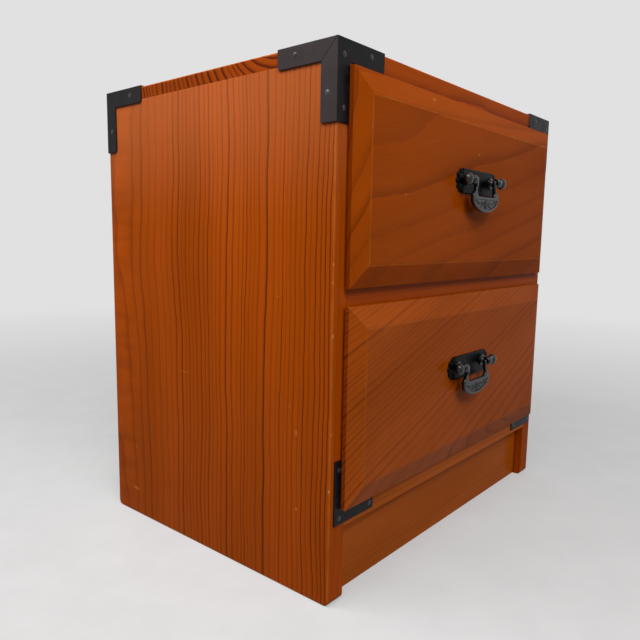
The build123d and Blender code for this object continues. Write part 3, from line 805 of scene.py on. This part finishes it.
def sink_grip(bm, level):
    """Splits the bail's front face at a level and sinks its lower part inside a rim."""
    front = min(vert.co.y for vert in bm.verts)
    parts = bm.verts[:] + bm.edges[:] + bm.faces[:]
    bmesh.ops.bisect_plane(bm, geom=parts, plane_co=(0, 0, level), plane_no=(0, 0, 1))
    bm.normal_update()
    flat = [face for face in bm.faces if face.normal.y < -0.999
            and all(vert.co.y < front + 0.01 * MM and vert.co.z < level + 0.01 * MM for vert in face.verts)]
    grip = bmesh.ops.dissolve_faces(bm, faces=flat, use_verts=True)["region"]
    outline = list(grip[0].verts)
    top = [vert for vert in outline if vert.co.z > level - 0.01 * MM]
    for tip in (min(top, key=lambda vert: vert.co.x), max(top, key=lambda vert: vert.co.x)):
        near = [vert for vert in outline
                if vert is not tip and (vert.co - tip.co).length < 1.5 * (RIM + WALL)]
        bmesh.ops.weld_verts(bm, targetmap={vert: tip for vert in near})
        outline = [vert for vert in outline if vert.is_valid]
    bm.normal_update()
    grip = [face for face in bm.faces if face.normal.y < -0.999 and face.calc_area() > GRIP_AREA]
    bmesh.ops.inset_region(bm, faces=grip, thickness=RIM, depth=0.0, use_even_offset=True)
    bmesh.ops.inset_region(bm, faces=grip, thickness=WALL, depth=-HOLLOW, use_even_offset=True)
    print("grip faces joined:", len(flat), "->", len(grip))
    return front


# %% Bail ornament
LEAVES = ((5.6, 0.9, 1.9, -35), (6.6, -1.3, 1.9, 25), (9.6, 0.6, 2.1, -10))   # away, up, length, turn
GRIP_BEADS = ((12.6, 1.3, 0.85), (14.9, 2.4, 0.7))                            # away, up, radius


def leaf(bm, centre, length, turn):
    """A pointed oval that lies at an angle: one leaf of a scroll."""
    place = Matrix.Translation(centre) @ Matrix.Rotation(turn, 4, "Y")
    place = place @ Matrix.Diagonal((length, 0.75 * MM, 0.36 * length, 1))
    bmesh.ops.create_uvsphere(bm, u_segments=12, v_segments=8, radius=1.0, matrix=place)


def flower(bm, centre, petals, radius):
    for count in range(petals):
        turn = 2 * pi * count / petals
        place = centre + Vector((radius * cos(turn), 0, radius * sin(turn)))
        dome(bm, place, (0.95 * MM, 0.7 * MM, 0.95 * MM), steps=6)
    dome(bm, centre, (1.2 * MM, HOLLOW, 1.2 * MM), steps=8)


def bail(drawer):
    node = f"{drawer}_bail"
    balls_low, balls_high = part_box(f"{drawer}_bail_balls")
    pin = Vector((0, (balls_low.y + balls_high.y) / 2, (balls_low.z + balls_high.z) / 2))
    bm = merged_copy(node)
    front = sink_grip(bm, pin.z - GRIP_TOP)
    floor = Vector((0, front + HOLLOW, pin.z - 17.1 * MM))
    flower(bm, floor, 8, 2.3 * MM)
    for side in (-1, 1):
        for away, lift, length, turn in LEAVES:
            place = floor + Vector((side * away, 0, lift)) * MM
            leaf(bm, place, length * MM, radians(side * turn))
        for away, lift, size in GRIP_BEADS:
            place = floor + Vector((side * away, 0, lift)) * MM
            dome(bm, place, (size * MM, HOLLOW, size * MM), steps=6)
    finish_piece(f"{drawer}_bail_cast", bm, bright_iron, node, node)


# %% [markdown]
# ## Balls on the pin ends
# In the photograph the balls look wider than the model's. They are swelled across the front, but not in
# depth, so that they stay inside the model's box. A turned collar joins each to its arm.

# %% Balls
SWELL = 1.0 * MM
OUTWARD = 1.1 * MM


def balls(drawer):
    node = f"{drawer}_bail_balls"
    low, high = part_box(node)
    radius = (high.y - low.y) / 2
    swell = radius + SWELL
    bm = bmesh.new()
    for side in (-1, 1):
        centre = Vector((side * (high.x - radius), (low.y + high.y) / 2, (low.z + high.z) / 2))
        dome(bm, centre + Vector((side * OUTWARD, 0, 0)), (swell, radius, swell), steps=14)
        neck = [(0.0, 0.0), (0.0, 2.0), (0.5, 2.3), (1.0, 2.0), (1.0, 0.0)]
        inner = centre - Vector((side * (radius + 0.3 * MM), 0, 0))
        turned(bm, inner, (side, 0, 0), [(along * MM, size * MM) for along, size in neck], steps=24)
    bmesh.ops.remove_doubles(bm, verts=bm.verts, dist=0.002 * MM)
    finish_piece(f"{drawer}_balls_cast", bm, bright_iron, f"{drawer}_bail", node)


for drawer in ("upper", "lower"):
    back_plate(drawer)
    post(drawer, "left")
    post(drawer, "right")
    bail(drawer)
    balls(drawer)
print("handles made")

# %% [markdown]
# ## Light and floor
# Two soft lamps stand for windows: one high on the left, which rakes down the side, and one in front. The
# pale wall is the world's colour, but only for rays that show it directly, so it doesn't flood the chest
# with light. The floor does the same, and melts into the wall colour at its rim, so that no hard horizon
# shows. Close to the chest it is an ordinary surface and keeps the shadow.

# %% Light and floor
WALL_GREY = 0.75
FLOOR_GLOW = 0.69
FLOOR_SEEN = colour("#D6D6D6")
FLOOR_LIT = colour("#747474")
FLOOR_RADIUS = 1.7
LIT_LEVEL = 0.20            # the light that the world gives the chest


def seen_directly(tree):
    """One for the rays that show the background itself, none for those that light the chest."""
    path = add(tree, "ShaderNodeLightPath").outputs
    direct = maths(tree, "MAXIMUM", path["Is Camera Ray"], path["Is Transmission Ray"])
    return maths(tree, "MAXIMUM", direct, path["Is Glossy Ray"])


def build_world():
    world = bpy.data.worlds.new("studio")
    bpy.context.scene.world = world
    world.use_nodes = True
    tree = world.node_tree
    tree.nodes.clear()
    seen = add(tree, "ShaderNodeBackground", {"Color": (WALL_GREY,) * 3 + (1,), "Strength": 1.0})
    lit = add(tree, "ShaderNodeBackground", {"Color": (1, 1, 1, 1), "Strength": LIT_LEVEL})
    sockets = {0: seen_directly(tree), 1: lit.outputs[0], 2: seen.outputs[0]}
    both = add(tree, "ShaderNodeMixShader", sockets)
    tree.links.new(both.outputs[0], add(tree, "ShaderNodeOutputWorld").inputs["Surface"])


def build_floor():
    bm = bmesh.new()
    bmesh.ops.create_circle(bm, cap_ends=True, radius=FLOOR_RADIUS, segments=96)
    mesh = bpy.data.meshes.new("floor")
    bm.to_mesh(mesh)
    bm.free()
    floor = bpy.data.objects.new("floor", mesh)
    bpy.context.scene.collection.objects.link(floor)
    material = bpy.data.materials.new("pale_floor")
    material.use_nodes = True
    tree = material.node_tree
    shader = tree.nodes["Principled BSDF"]
    place = add(tree, "ShaderNodeTexCoord").outputs["Object"]
    cloud = ramp(tree, noise(tree, place, 16.0, 8.0, 0.7), 0.3, 0.7, 0.93, 1.04)
    direct = seen_directly(tree)
    shade = vector_maths(tree, "SCALE", blend_colour(tree, direct, FLOOR_LIT, FLOOR_SEEN))
    tree.links.new(cloud, shade.node.inputs["Scale"])
    fill(tree, shader.inputs["Base Color"], shade)
    shader.inputs["Roughness"].default_value = 0.7
    shader.inputs["Specular IOR Level"].default_value = 0.2
    distance = vector_maths(tree, "LENGTH", place)
    level = ramp(tree, distance, 1.1, 1.65, FLOOR_GLOW, WALL_GREY)
    glow = add(tree, "ShaderNodeEmission", {"Color": (1, 1, 1, 1), "Strength": level})
    spread = maths(tree, "MULTIPLY", direct, ramp(tree, distance, 0.2, 1.2, 0.5, 1.0))
    far = add(tree, "ShaderNodeMixShader", {0: spread, 1: shader.outputs[0], 2: glow.outputs[0]})
    tree.links.new(far.outputs[0], tree.nodes["Material Output"].inputs["Surface"])
    mesh.materials.append(material)


def soft_light(name, place, size, power, target):
    light = bpy.data.lights.new(name, "AREA")
    light.shape, light.energy = "RECTANGLE", power
    light.size, light.size_y = size
    lamp = bpy.data.objects.new(name, light)
    lamp.location = place
    lamp.rotation_euler = (Vector(target) - Vector(place)).to_track_quat("-Z", "Y").to_euler()
    bpy.context.scene.collection.objects.link(lamp)


build_world()
build_floor()
soft_light("side_window", (-0.40, 0.00, 0.80), (0.8, 0.25), 6.2, (-0.16, 0.00, 0.17))
soft_light("front_window", (-0.50, -1.20, 1.35), (0.9, 0.7), 11.8, (0.02, -0.11, 0.17))
bpy.context.scene.view_settings.view_transform = "Standard"
